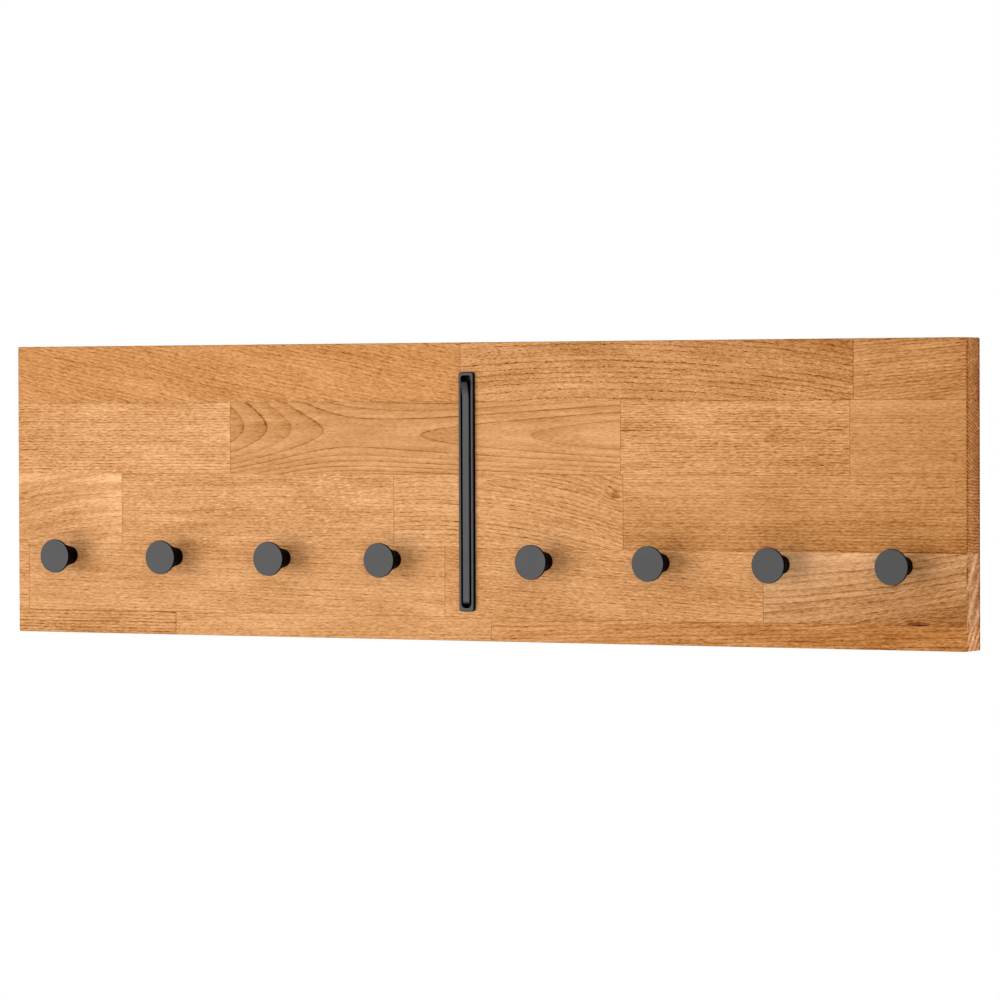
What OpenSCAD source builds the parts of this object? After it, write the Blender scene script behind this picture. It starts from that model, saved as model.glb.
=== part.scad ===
// Wall hook rack: a solid oak panel glued up from staves, eight turned knobs screwed on from behind,
// and a hanger rod that folds out of a housing let into the panel.
// X runs to the right along the panel, Y into the wall and Z up.
// The origin is the middle of the panel's back face, which lies against the wall.

/* [Panel] */
// Width of the panel
panel_w = 1000; // [920:5:1200]
// Height of the panel
panel_h = 276; // [245:1:310]
// Thickness of the panel
panel_t = 30; // [27:1:40]
// Radius of the panel's four corners
panel_corner_r = 2; // [1:0.5:4]
// Round-over along the panel's edges
panel_edge_r = 1; // [0.5:0.25:2]

/* [Staves] */
// Height of row a, the top row. The five rows together are stretched to the panel's height
row_a_h = 54.5; // [40:0.5:70]
// Height of row b
row_b_h = 67.5; // [50:0.5:80]
// Height of row c
row_c_h = 68; // [50:0.5:80]
// Height of row d, which carries the knobs
row_d_h = 64; // [50:0.5:80]
// Height of row e, the bottom row
row_e_h = 22; // [16:0.5:40]
// Lengths of row a's staves, from the left. Each row is stretched to the panel's width
staves_a = [492, 399, 109]; // [60:1:700]
// Lengths of row b's staves
staves_b = [242, 416.5, 229, 112.5]; // [60:0.5:500]
// Lengths of row c's staves
staves_c = [119.5, 301, 240.5, 339]; // [60:0.5:500]
// Lengths of row d's staves
staves_d = [12, 463, 327, 198]; // [10:1:500]
// Lengths of row e's staves
staves_e = [180, 344, 476]; // [60:1:700]

/* [Knobs] */
// Knobs on each side of the rod
knobs_per_side = 4; // [2:1:4]
// Distance between the two innermost knobs; the others are spread evenly from there to the ends
knob_gap = 160; // [100:1:200]
// Distance from the panel's ends to the outermost knobs' axes
knob_end = 60; // [40:1:100]
// Distance from the top of row d down to the knobs' axes
knob_drop = 11.5; // [8:0.5:30]
// Diameter of a knob's face
knob_d = 32; // [26:0.5:36]
// Length of a knob from the panel to its face
knob_l = 28; // [24:0.5:36]
// Diameter of a knob's foot, where it meets the panel
knob_foot_d = 17; // [14:0.5:20]
// Width of the straight rim round a knob's face
knob_rim_t = 2.6; // [1.5:0.1:4]
// Radius of the hollow flare between foot and rim
knob_flare_r = 95; // [50:1:120]
// Round-over on the rim's two edges
knob_rim_r = 0.45; // [0.2:0.05:0.7]

/* [Knob screws] */
// Diameter of the machine screw
screw_d = 4; // [3:0.5:5]
// Length of the machine screw under its head
screw_l = 30; // [28:1:32]
// Diameter of its pan head
screw_head_d = 8; // [7:0.1:9]
// Height of its pan head
screw_head_h = 2.6; // [2:0.1:3.2]
// Diameter of the washer
washer_d = 9; // [8.5:0.1:10.5]
// Thickness of the washer
washer_t = 0.8; // [0.5:0.1:1.2]
// Diameter of the counterbore in the panel's back
counterbore_d = 12; // [11:0.5:14]
// Depth of that counterbore
counterbore_depth = 12; // [10:0.5:13]
// Diameter of the clearance hole through the panel
clearance_hole_d = 4.6; // [4.5:0.1:6]
// Width of the arms of every screw's cross recess
cross_w = 1.1; // [0.8:0.1:1.4]

/* [Rod housing] */
// Width of the housing's frame
frame_w = 15.5; // [14.5:0.1:17]
// Height of the housing's frame
frame_h = 221; // [190:1:225]
// How far the frame stands proud of the panel
frame_proud = 4; // [2.5:0.1:5]
// Radius of the frame's outer corners
frame_corner_r = 3; // [1:0.1:3]
// Round-over along the frame's front edge
frame_edge_r = 1; // [0.4:0.1:1.2]
// Width of the frame's two long rails
rail_w = 2.3; // [2.2:0.1:2.8]
// Width of the frame's two end rails
end_rail_w = 2.9; // [2.4:0.1:4]
// Radius of the slot's two top corners
slot_top_r = 3; // [1:0.1:4]
// Radius of the slot's two bottom corners
slot_bottom_r = 4.4; // [2:0.1:4.4]
// Overhang of the frame round the box behind it
frame_lip = 0.7; // [0.4:0.1:0.9]
// Depth of the slot behind the panel's face
slot_depth = 6.5; // [5:0.1:9]
// Thickness of the housing's floor
floor_t = 2.5; // [2:0.1:3.5]

/* [Hanger rod] */
// Width of the rod
rod_w = 7.6; // [6.6:0.1:8]
// Thickness of the rod, front to back
rod_t = 8; // [7:0.1:9]
// How far the folded rod stands in front of the frame
rod_proud = 0.5; // [0:0.1:1]
// Gap between the rod's foot and the slot's bottom end
foot_gap = 3.6; // [3.4:0.1:6]
// Gap between the rod's tip and the slot's top end
tip_gap = 4.6; // [3:0.1:8]
// How far the tip leans out in front of the rod
tip_lean = 4; // [2:0.1:6]
// Angle that the tip has leaned to at its end
tip_angle = 26; // [18:1:32]
// Thickness of the tip at its end
tip_end_t = 4.5; // [4:0.1:6]
// Height of the lip at the tip's back, which keeps hangers on the opened rod
lip_h = 1.8; // [0.8:0.1:2]
// Radius of that lip
lip_r = 5; // [4:0.1:6]
// Distance from the tip's end down to the middle of the lip's round
lip_drop = 7; // [6:0.1:9]
// Radius of the heel's front corner, seen from the side
heel_r = 3; // [0.5:0.1:3]
// Round-over along the rod's front edges
rod_edge_r = 1; // [0.4:0.1:1.6]
// Radius of the foot's two corners, seen from the front
foot_corner_r = 3; // [1.5:0.1:3]

/* [Pivot] */
// Diameter of the pivot pin
pin_d = 3; // [2.5:0.1:3.4]
// Depth of the pin's axis behind the panel's face
pin_depth = 2; // [1.9:0.1:2.4]
// Radial running clearance of the rod on its pin
pin_run = 0.04; // [0.02:0.01:0.08]
// Radial clearance of a fixed pin or screw in its hole
seat_fit = 0.02; // [0.01:0.01:0.05]
// Running gap between the rod's eye and the housing's floor
eye_gap = 0.3; // [0.2:0.05:0.5]
// Gap left at the stop when the rod is fully open
stop_gap = 0.05; // [0.02:0.01:0.1]
// Gap between the rod and each friction washer
friction_gap = 0.05; // [0.02:0.01:0.1]
// Diameter of the friction washers
friction_washer_d = 7.4; // [6:0.1:8]
// Diameter of the rest pad's head
pad_d = 6; // [5:0.1:7]
// Round-over on the edge of the rest pad's head
pad_edge_r = 1; // [0.4:0.1:1.5]
// Diameter of the rest pad's stem
pad_stem_d = 3; // [2:0.1:3.5]
// Gap between the folded rod and the rest pad
pad_gap = 0.1; // [0.05:0.05:0.3]
// Distance from the slot's top end to the rest pad
pad_from_top = 30; // [24:1:60]

/* [Wood screws] */
// Diameter of the wood screws
wood_screw_d = 3; // [2.5:0.1:3.5]
// Diameter of the blunt end of their points
wood_point_d = 0.3; // [0.2:0.1:0.8]
// Length of the housing's wood screws, head included
housing_screw_l = 16; // [10:1:18]
// Distance from the slot's top end to the upper housing screw
housing_screw_top = 46; // [40:1:80]
// Distance from the slot's bottom end to the lower housing screw
housing_screw_bottom = 40; // [24:1:80]
// Length of the hanger plates' wood screws, head included
hanger_screw_l = 16; // [10:1:22]

/* [Hanger plates] */
// Distance from the panel's ends to the keyholes
hanger_from_end = 80; // [60:1:150]
// Distance from the panel's top edge to the hanger plates' middle
hanger_from_top = 30; // [22:1:40]
// Width of a hanger plate
plate_w = 46; // [44:1:60]
// Height of a hanger plate
plate_h = 24; // [23:1:30]
// Thickness of a hanger plate
plate_t = 1.5; // [1.2:0.1:2.5]
// Radius of the plate's corners
plate_corner_r = 3; // [1:0.5:5]
// Metal left between a screw's head and the plate's end
plate_screw_edge = 2.5; // [1.5:0.1:4]
// Diameter of the keyhole's entry
keyhole_entry_d = 10; // [9:0.5:11]
// Width of the keyhole's slot
keyhole_slot_w = 5; // [4.2:0.1:5.5]
// Rise from the entry's middle to the slot's end
keyhole_rise = 10; // [8:0.5:10.5]
// Room left round the wall screw's head in the pocket behind the keyhole
head_pocket_margin = 1; // [0.5:0.1:2]
// Depth of that pocket
head_pocket_depth = 5; // [4.5:0.5:8]

/* [Clearances] */
// Gap round a piece let into the wood
inset_gap = 0.2; // [0.1:0.05:0.3]
// Gap behind the housing, so that its frame seats first
pocket_bottom_gap = 0.5; // [0.3:0.1:1]

/* [Hidden] */
$fn = 64;
cut = 1;
row_names = ["a", "b", "c", "d", "e"];
row_heights = [row_a_h, row_b_h, row_c_h, row_d_h, row_e_h];
row_staves = [staves_a, staves_b, staves_c, staves_d, staves_e];
front_y = -panel_t;

// Knobs and their screws
knob_z = row_top(3) - knob_drop;
knob_pitch = (panel_w / 2 - knob_end - knob_gap / 2) / (knobs_per_side - 1);
knob_half = [for (i = [0:knobs_per_side - 1]) knob_gap / 2 + i * knob_pitch];
knob_xs = concat([for (i = [1:knobs_per_side]) -knob_half[knobs_per_side - i]], knob_half);
screw_seat_y = -counterbore_depth;
screw_end_y = screw_seat_y + washer_t - screw_l;
recess_reach = 0.6;
recess_sink = 0.8;

// Housing
slot_w = frame_w - 2 * rail_w;
slot_top = frame_h / 2 - end_rail_w;
slot_bottom = -slot_top;
slot_h = slot_top - slot_bottom;
frame_front_y = front_y - frame_proud;
floor_y = front_y + slot_depth;
housing_back_y = floor_y + floor_t;
box_w = frame_w - 2 * frame_lip;
box_h = frame_h - 2 * frame_lip;

// Pivot, in the housing's depth and height
pin_r = pin_d / 2;
pin_y = front_y + pin_depth;
stop_reach = floor_y - pin_y - stop_gap;
eye_r = floor_y - pin_y - eye_gap;
pin_z = slot_bottom + foot_gap + stop_reach;
friction_washer_t = (slot_w - rod_w) / 2 - friction_gap;

// Rod, from its pivot: distances to the front and back, then up to the tip
rod_front = frame_front_y - rod_proud - pin_y;
rod_back = rod_front + rod_t;
rod_l = slot_top - tip_gap - pin_z;
flare_r = tip_lean / (1 - cos(tip_angle));
flare_over = 3;
tip_start = rod_l - (flare_r + tip_end_t) * sin(tip_angle);
tip_front = rod_front - tip_lean;
flare_mid = [rod_front - flare_r, tip_start];
nose = flare_mid + flare_r * [cos(tip_angle), sin(tip_angle)];
nose_back = flare_mid + (flare_r + tip_end_t) * [cos(tip_angle), sin(tip_angle)];
lip_mid = [rod_back + lip_h - lip_r, rod_l - lip_drop];
lip_to_nose = nose_back - lip_mid;
lip_turn = atan2(lip_to_nose[1], lip_to_nose[0]) - acos(lip_r / norm(lip_to_nose));
lip_touch = lip_mid + lip_r * [cos(lip_turn), sin(lip_turn)];

// Rest pad and screws
pad_z = slot_top - pad_from_top;
pad_y = pin_y + rod_back + pad_gap;
housing_screw_zs = [slot_bottom + housing_screw_bottom, slot_top - housing_screw_top];
wood_screw_head_d = 2 * wood_screw_d;
hanger_x = panel_w / 2 - hanger_from_end;
hanger_z = panel_h / 2 - hanger_from_top;
plate_screw_x = plate_w / 2 - wood_screw_head_d / 2 - plate_screw_edge;
head_pocket_w = keyhole_entry_d + 2 * head_pocket_margin;

// Share of a list's total that its first n values make up
function total(values, n) = [for (i = [0:n - 1]) values[i]] * [for (i = [0:n - 1]) 1];
function share(values, n) = total(values, n) / total(values, len(values));
function row_top(row) = panel_h / 2 - (row > 0 ? panel_h * share(row_heights, row) : 0);
function stave_left(row, n) = (n > 0 ? panel_w * share(row_staves[row], n) : 0) - panel_w / 2;
function stave_name(row, n) = str("stave_", row_names[row], n + 1);

// Rectangle about the origin with four round corners
module round_rect(w, h, r) {
    square([w - 2 * r, h], center = true);
    square([w, h - 2 * r], center = true);
    for (x = [-1, 1], y = [-1, 1])
        translate([x * (w / 2 - r), y * (h / 2 - r)])
            circle(r = r);
}

// Solid whose outline is drawn in X and Z, from depth y0 to y1
module front_slab(y0, y1) {
    translate([0, y1, 0])
        rotate([90, 0, 0])
            linear_extrude(y1 - y0) children();
}

// Solid whose outline is drawn in Y and Z, w wide about the plane x = 0
module side_slab(w) {
    translate([-w / 2, 0, 0])
        rotate([90, 0, 90])
            linear_extrude(w) children();
}

// Round bar along Y from depth y0 to y1
module bar_y(r, y0, y1) {
    translate([0, y1, 0])
        rotate([90, 0, 0])
            cylinder(r = r, h = y1 - y0);
}

// Countersunk wood screw from its head's face at the origin; way is 1 along +Y and -1 along -Y
module wood_screw(length, way) {
    head_r = wood_screw_head_d / 2;
    head_h = head_r - wood_screw_d / 2;
    point_h = wood_screw_d;
    rotate([way > 0 ? -90 : 90, 0, 0])
        difference() {
            union() {
                cylinder(r1 = head_r, r2 = wood_screw_d / 2, h = head_h);
                cylinder(d = wood_screw_d, h = length - point_h);
                translate([0, 0, length - point_h])
                    cylinder(d1 = wood_screw_d, d2 = wood_point_d, h = point_h);
            }
            cross_recess(head_r, head_h * recess_sink);
        }
}

// Cross recess sunk from the plane z = 0
module cross_recess(r, depth) {
    for (turn = [0, 90])
        rotate([0, 0, turn])
            translate([-r * recess_reach, -cross_w / 2, -cut])
                cube([2 * r * recess_reach, cross_w, depth + cut]);
}

// Hole for a wood screw, with its countersink, from the plane of its head's face
module wood_screw_hole(length, way) {
    head_r = wood_screw_head_d / 2 + seat_fit;
    shank_r = wood_screw_d / 2 + seat_fit;
    rotate([way > 0 ? -90 : 90, 0, 0]) {
        cylinder(r1 = head_r, r2 = shank_r, h = head_r - shank_r);
        cylinder(r = shank_r, h = length + cut);
        translate([0, 0, -cut])
            cylinder(r = head_r, h = cut);
    }
}

// The whole panel before it is drilled and routed
module panel_blank() {
    intersection() {
        front_slab(front_y, 0)
            round_rect(panel_w, panel_h, panel_corner_r);
        side_slab(panel_w + 2 * cut)
            translate([-panel_t / 2, 0])
                round_rect(panel_t, panel_h, panel_edge_r);
        linear_extrude(panel_h + 2 * cut, center = true)
            translate([0, -panel_t / 2])
                round_rect(panel_w, panel_t, panel_edge_r);
    }
}

// Screw holes and counterbores for the knobs
module knob_holes() {
    for (x = knob_xs)
        translate([x, 0, knob_z]) {
            bar_y(clearance_hole_d / 2, front_y - cut, cut);
            bar_y(counterbore_d / 2, screw_seat_y, cut);
        }
}

// Pocket for the rod's housing, routed from the front
module rod_pocket() {
    front_slab(front_y - cut, housing_back_y + pocket_bottom_gap)
        round_rect(box_w + 2 * inset_gap, box_h + 2 * inset_gap, frame_corner_r + inset_gap);
}

// Pilot holes for the housing's screws
module housing_pilots() {
    for (z = housing_screw_zs)
        translate([0, floor_y, z])
            rotate([-90, 0, 0])
                cylinder(r = wood_screw_d / 2 + seat_fit, h = housing_screw_l + cut);
}

// Recess for one hanger plate, its screws and the wall screw's head
module hanger_recess() {
    front_slab(-plate_t, cut)
        round_rect(plate_w + 2 * inset_gap, plate_h + 2 * inset_gap, plate_corner_r + inset_gap);
    front_slab(-plate_t - head_pocket_depth, cut)
        round_rect(head_pocket_w, keyhole_rise + head_pocket_w, head_pocket_w / 2 - inset_gap);
    for (side = [-1, 1])
        translate([side * plate_screw_x, 0, 0])
            bar_y(wood_screw_d / 2 + seat_fit, -hanger_screw_l - cut, 0);
}

// One stave: its share of the blank, machined where the panel is
module stave(row, n) {
    over_left = n == 0 ? cut : 0;
    over_right = n == len(row_staves[row]) - 1 ? cut : 0;
    over_top = row == 0 ? cut : 0;
    over_bottom = row == len(row_names) - 1 ? cut : 0;
    x0 = stave_left(row, n) - over_left;
    x1 = stave_left(row, n + 1) + over_right;
    z0 = row_top(row + 1) - over_bottom;
    z1 = row_top(row) + over_top;
    color("peru")
        difference() {
            intersection() {
                panel_blank();
                translate([x0, front_y - cut, z0])
                    cube([x1 - x0, panel_t + 2 * cut, z1 - z0]);
            }
            knob_holes();
            rod_pocket();
            housing_pilots();
            for (side = [-1, 1])
                translate([side * hanger_x, 0, hanger_z])
                    hanger_recess();
        }
}

// Half of a knob's section: distance from its axis, then from the panel
module knob_section() {
    foot_r = knob_foot_d / 2;
    face_r = knob_d / 2;
    flare_l = knob_l - knob_rim_t;
    rise_r = face_r - knob_rim_r - foot_r;
    chord = sqrt(rise_r * rise_r + flare_l * flare_l);
    reach = sqrt(knob_flare_r * knob_flare_r - chord * chord / 4);
    difference() {
        square([face_r - knob_rim_r, flare_l]);
        translate([foot_r + rise_r / 2 + reach * flare_l / chord, flare_l / 2 - reach * rise_r / chord])
            circle(r = knob_flare_r, $fn = 200);
    }
    translate([0, flare_l])
        square([face_r - knob_rim_r, knob_rim_t]);
    translate([0, flare_l + knob_rim_r])
        square([face_r, knob_rim_t - 2 * knob_rim_r]);
    for (y = [flare_l + knob_rim_r, knob_l - knob_rim_r])
        translate([face_r - knob_rim_r, y])
            circle(r = knob_rim_r);
}

// Turned knob with a blind tapped hole in its foot
module knob(x) {
    color("dimgray")
        translate([x, 0, knob_z])
            difference() {
                translate([0, front_y, 0])
                    rotate([90, 0, 0])
                        rotate_extrude($fn = 96) knob_section();
                bar_y(screw_d / 2 + seat_fit, screw_end_y - cut, front_y + cut);
            }
}

// Pan-head machine screws, one to a knob
module knob_screws() {
    head_y = screw_seat_y + washer_t;
    color("silver")
        for (x = knob_xs)
            translate([x, 0, knob_z])
                difference() {
                    union() {
                        bar_y(screw_d / 2, screw_end_y, head_y + screw_head_h / 2);
                        bar_y(screw_head_d / 2, head_y, head_y + screw_head_h);
                    }
                    translate([0, head_y + screw_head_h, 0])
                        rotate([90, 0, 0])
                            cross_recess(screw_head_d / 2, screw_head_h / 2);
                }
}

// Plain washers under the screws' heads
module knob_washers() {
    color("silver")
        for (x = knob_xs)
            translate([x, 0, knob_z])
                difference() {
                    bar_y(washer_d / 2, screw_seat_y, screw_seat_y + washer_t);
                    bar_y(screw_d / 2 + inset_gap, screw_seat_y - cut, screw_seat_y + washer_t + cut);
                }
}

// Outline of the slot, seen from the front: small corners above, large ones below
module slot_outline() {
    top_x = slot_w / 2 - slot_top_r;
    bottom_x = slot_w / 2 - slot_bottom_r;
    translate([-slot_w / 2, slot_bottom + slot_bottom_r])
        square([slot_w, slot_h - slot_bottom_r - slot_top_r]);
    translate([-top_x, 0])
        square([2 * top_x, slot_top]);
    translate([-bottom_x, slot_bottom])
        square([2 * bottom_x, slot_h / 2]);
    for (side = [-1, 1]) {
        translate([side * top_x, slot_top - slot_top_r])
            circle(r = slot_top_r);
        translate([side * bottom_x, slot_bottom + slot_bottom_r])
            circle(r = slot_bottom_r);
    }
}

// The housing's frame, proud of the panel, with its front edge rounded over
module housing_frame() {
    intersection() {
        front_slab(frame_front_y, front_y)
            round_rect(frame_w, frame_h, frame_corner_r);
        side_slab(frame_w + 2 * cut)
            translate([front_y, 0])
                round_rect(2 * frame_proud, frame_h, frame_edge_r);
        linear_extrude(frame_h + 2 * cut, center = true)
            translate([0, front_y])
                round_rect(frame_w, 2 * frame_proud, frame_edge_r);
    }
}

// Cast housing: a frame on the panel's face and a box in the pocket behind it
module rod_housing() {
    color([0.22, 0.22, 0.23])
        difference() {
            union() {
                housing_frame();
                front_slab(front_y - frame_proud / 2, housing_back_y)
                    round_rect(box_w, box_h, frame_corner_r);
            }
            front_slab(frame_front_y - cut, floor_y)
                slot_outline();
            translate([-frame_w, pin_y, pin_z])
                rotate([0, 90, 0])
                    cylinder(r = pin_r + seat_fit, h = 2 * frame_w);
            for (z = housing_screw_zs)
                translate([0, floor_y, z])
                    wood_screw_hole(housing_screw_l, 1);
            translate([0, 0, pad_z])
                bar_y(pad_stem_d / 2 + seat_fit, floor_y - cut, housing_back_y + cut);
        }
}

// The rod's shank, eye and heel from the side, with the pivot at the origin and the front towards -Y
module shank_section() {
    translate([rod_front, 0])
        square([rod_t, lip_mid[1]]);
    circle(r = eye_r);
    // heel: its flat end meets the housing's floor when the rod is open
    translate([rod_front, heel_r - stop_reach])
        square([-rod_front, stop_reach]);
    translate([rod_front + heel_r, -stop_reach])
        square([-rod_front - heel_r, stop_reach]);
    translate([rod_front + heel_r, heel_r - stop_reach])
        circle(r = heel_r);
}

// The rod before its bore, flare and round-overs are cut
module rod_blank() {
    side_slab(rod_w)
        shank_section();
    // tip, whose front is cut to the flare and whose back carries the lip
    side_slab(rod_w)
        polygon([[rod_front, tip_start], nose, nose_back, lip_touch, lip_mid, [rod_front / 2, tip_start]]);
    side_slab(rod_w)
        translate(lip_mid)
            circle(r = lip_r);
}

// The rod seen from the front: a straight bar with two round corners at its foot
module rod_outline() {
    translate([-rod_w / 2, foot_corner_r - stop_reach])
        square([rod_w, rod_l + stop_reach]);
    translate([foot_corner_r - rod_w / 2, -stop_reach])
        square([rod_w - 2 * foot_corner_r, stop_reach]);
    for (side = [-1, 1])
        translate([side * (rod_w / 2 - foot_corner_r), foot_corner_r - stop_reach])
            circle(r = foot_corner_r);
}

// What a round-over takes off an edge at the origin of two faces along +X and +Y
module round_over(r) {
    difference() {
        translate([-cut, -cut])
            square(r + cut);
        translate([r, r])
            circle(r = r);
    }
}

// Hanger rod with its eye, heel, flared tip and lip
module hanger_rod() {
    color([0.25, 0.25, 0.26])
        translate([0, pin_y, pin_z])
            difference() {
                intersection() {
                    rod_blank();
                    front_slab(tip_front - cut, eye_r + cut)
                        rod_outline();
                }
                side_slab(rod_w + 2 * cut)
                    translate(flare_mid)
                        circle(r = flare_r, $fn = 200);
                side_slab(rod_w + 2 * cut)
                    circle(r = pin_r + pin_run);
                // round-overs along the shank's front edges, then along the flare
                for (side = [0, 1])
                    mirror([side, 0, 0]) {
                        translate([-rod_w / 2, rod_front, -stop_reach - cut])
                            linear_extrude(tip_start + stop_reach + cut)
                                round_over(rod_edge_r);
                        translate([0, flare_mid[0], flare_mid[1]])
                            rotate([90, 0, 90])
                                rotate_extrude(angle = tip_angle + flare_over, $fn = 96)
                                    translate([flare_r, -rod_w / 2])
                                        round_over(rod_edge_r);
                    }
            }
}

// Steel pin through the housing's two walls
module pivot_pin() {
    color("silver")
        translate([-box_w / 2 + inset_gap, pin_y, pin_z])
            rotate([0, 90, 0])
                cylinder(r = pin_r, h = box_w - 2 * inset_gap);
}

// Washers that brake the rod, between it and the housing's walls
module friction_washers() {
    color("black")
        for (side = [0, 1])
            mirror([side, 0, 0])
                translate([rod_w / 2 + friction_gap, pin_y, pin_z])
                    rotate([0, 90, 0])
                        difference() {
                            cylinder(d = friction_washer_d, h = friction_washer_t);
                            translate([0, 0, -cut])
                                cylinder(r = pin_r + pin_run, h = friction_washer_t + 2 * cut);
                        }
}

// Rubber pad that the folded rod lies against
module rest_pad() {
    pad_h = floor_y - pad_y;
    color("black")
        translate([0, floor_y, pad_z])
            rotate([90, 0, 0])
                rotate_extrude() {
                    translate([0, -floor_t])
                        square([pad_stem_d / 2, floor_t + pad_edge_r]);
                    square([pad_d / 2, pad_h - pad_edge_r]);
                    square([pad_d / 2 - pad_edge_r, pad_h]);
                    translate([pad_d / 2 - pad_edge_r, pad_h - pad_edge_r])
                        intersection() {
                            circle(r = pad_edge_r);
                            square(pad_edge_r);
                        }
                }
}

// Countersunk wood screws that hold the housing
module housing_screws() {
    color("dimgray")
        for (z = housing_screw_zs)
            translate([0, floor_y, z])
                wood_screw(housing_screw_l, 1);
}

// Steel plate with a keyhole and two countersunk holes, flush with the panel's back
module hanger_plate(side) {
    color("silver")
        translate([side * hanger_x, 0, hanger_z])
            difference() {
                front_slab(-plate_t, 0)
                    round_rect(plate_w, plate_h, plate_corner_r);
                front_slab(-plate_t - cut, cut) {
                    translate([0, -keyhole_rise / 2])
                        circle(d = keyhole_entry_d);
                    square([keyhole_slot_w, keyhole_rise], center = true);
                    translate([0, keyhole_rise / 2])
                        circle(d = keyhole_slot_w);
                }
                for (x = [-plate_screw_x, plate_screw_x])
                    translate([x, 0, 0])
                        wood_screw_hole(hanger_screw_l, -1);
            }
}

// Countersunk wood screws that hold the two hanger plates
module hanger_screws() {
    color("silver")
        for (middle = [-hanger_x, hanger_x], x = [-plate_screw_x, plate_screw_x])
            translate([middle + x, 0, hanger_z])
                wood_screw(hanger_screw_l, -1);
}

for (r = [0:len(row_names) - 1], n = [0:len(row_staves[r]) - 1])
    stave(r, n);
for (i = [1:len(knob_xs)])
    knob(knob_xs[i - 1]);
knob_screws();
knob_washers();
rod_housing();
hanger_rod();
pivot_pin();
friction_washers();
rest_pad();
housing_screws();
hanger_plate(-1);  // hanger_plate_left
hanger_plate(1);  // hanger_plate_right
hanger_screws();
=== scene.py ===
import math

import bmesh
import bpy
from mathutils import Matrix, Vector


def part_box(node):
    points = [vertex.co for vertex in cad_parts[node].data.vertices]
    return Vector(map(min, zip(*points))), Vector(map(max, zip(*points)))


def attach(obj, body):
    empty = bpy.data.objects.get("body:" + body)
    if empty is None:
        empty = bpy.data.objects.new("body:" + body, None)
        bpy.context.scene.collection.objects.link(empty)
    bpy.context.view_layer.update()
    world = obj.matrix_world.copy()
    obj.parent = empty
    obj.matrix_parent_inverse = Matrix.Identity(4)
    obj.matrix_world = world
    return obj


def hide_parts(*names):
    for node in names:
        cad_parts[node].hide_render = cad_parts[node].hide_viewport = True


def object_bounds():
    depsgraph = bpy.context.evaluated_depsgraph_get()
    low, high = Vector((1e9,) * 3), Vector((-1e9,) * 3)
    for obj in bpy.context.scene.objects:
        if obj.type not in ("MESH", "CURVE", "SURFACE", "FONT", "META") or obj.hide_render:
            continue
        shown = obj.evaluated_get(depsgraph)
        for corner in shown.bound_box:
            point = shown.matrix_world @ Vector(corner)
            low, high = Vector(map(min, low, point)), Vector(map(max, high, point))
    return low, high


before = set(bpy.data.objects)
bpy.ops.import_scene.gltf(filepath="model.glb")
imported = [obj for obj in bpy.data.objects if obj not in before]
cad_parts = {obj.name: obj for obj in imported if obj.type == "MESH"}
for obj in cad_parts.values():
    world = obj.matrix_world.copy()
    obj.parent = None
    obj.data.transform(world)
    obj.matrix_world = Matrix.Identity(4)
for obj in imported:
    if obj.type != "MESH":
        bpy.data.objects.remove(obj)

cad_box = [list(corner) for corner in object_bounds()]
panel_low, panel_high = Vector(cad_box[0]), Vector(cad_box[1])
staves = sorted(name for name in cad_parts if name.startswith("stave_"))
knobs = sorted(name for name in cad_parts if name.startswith("knob_") and name[5:].isdigit())
front_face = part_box("stave_a1")[0].y
MILLIMETRES = 1000  # in a metre


# ---------------------------------------------------------------- camera

LENS = 181   # millimetres
FILM = 36    # millimetres wide
CAMERA_PLACE = (2.262, -4.085, 0.0814)
CAMERA_PAN = 28.79   # degrees to the left
CAMERA_TILT = 1.1    # degrees down
CAMERA_ROLL = -0.22  # degrees


def viewing_axes(pan, tilt, roll):
    """Right, up and back of a camera that looks along +Y, panned left, tilted down and rolled."""
    ahead = Vector((-math.sin(pan) * math.cos(tilt), math.cos(pan) * math.cos(tilt), -math.sin(tilt)))
    right = Vector((math.cos(pan), math.sin(pan), 0))
    up = right.cross(ahead)
    rolled_right = right * math.cos(roll) + up * math.sin(roll)
    rolled_up = up * math.cos(roll) - right * math.sin(roll)
    return rolled_right, rolled_up, -ahead


def make_camera():
    """A long lens from the right, level with the rack."""
    camera = bpy.data.objects.new("camera", bpy.data.cameras.new("camera"))
    bpy.context.scene.collection.objects.link(camera)
    camera.data.sensor_width = FILM
    camera.data.lens = LENS
    camera.data.clip_start = 0.1
    camera.data.clip_end = 100
    axes = viewing_axes(math.radians(CAMERA_PAN), math.radians(CAMERA_TILT), math.radians(CAMERA_ROLL))
    camera.matrix_world = Matrix.Translation(CAMERA_PLACE) @ Matrix(axes).transposed().to_4x4()
    bpy.context.scene.camera = camera


# ---------------------------------------------------------------- node trees

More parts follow.
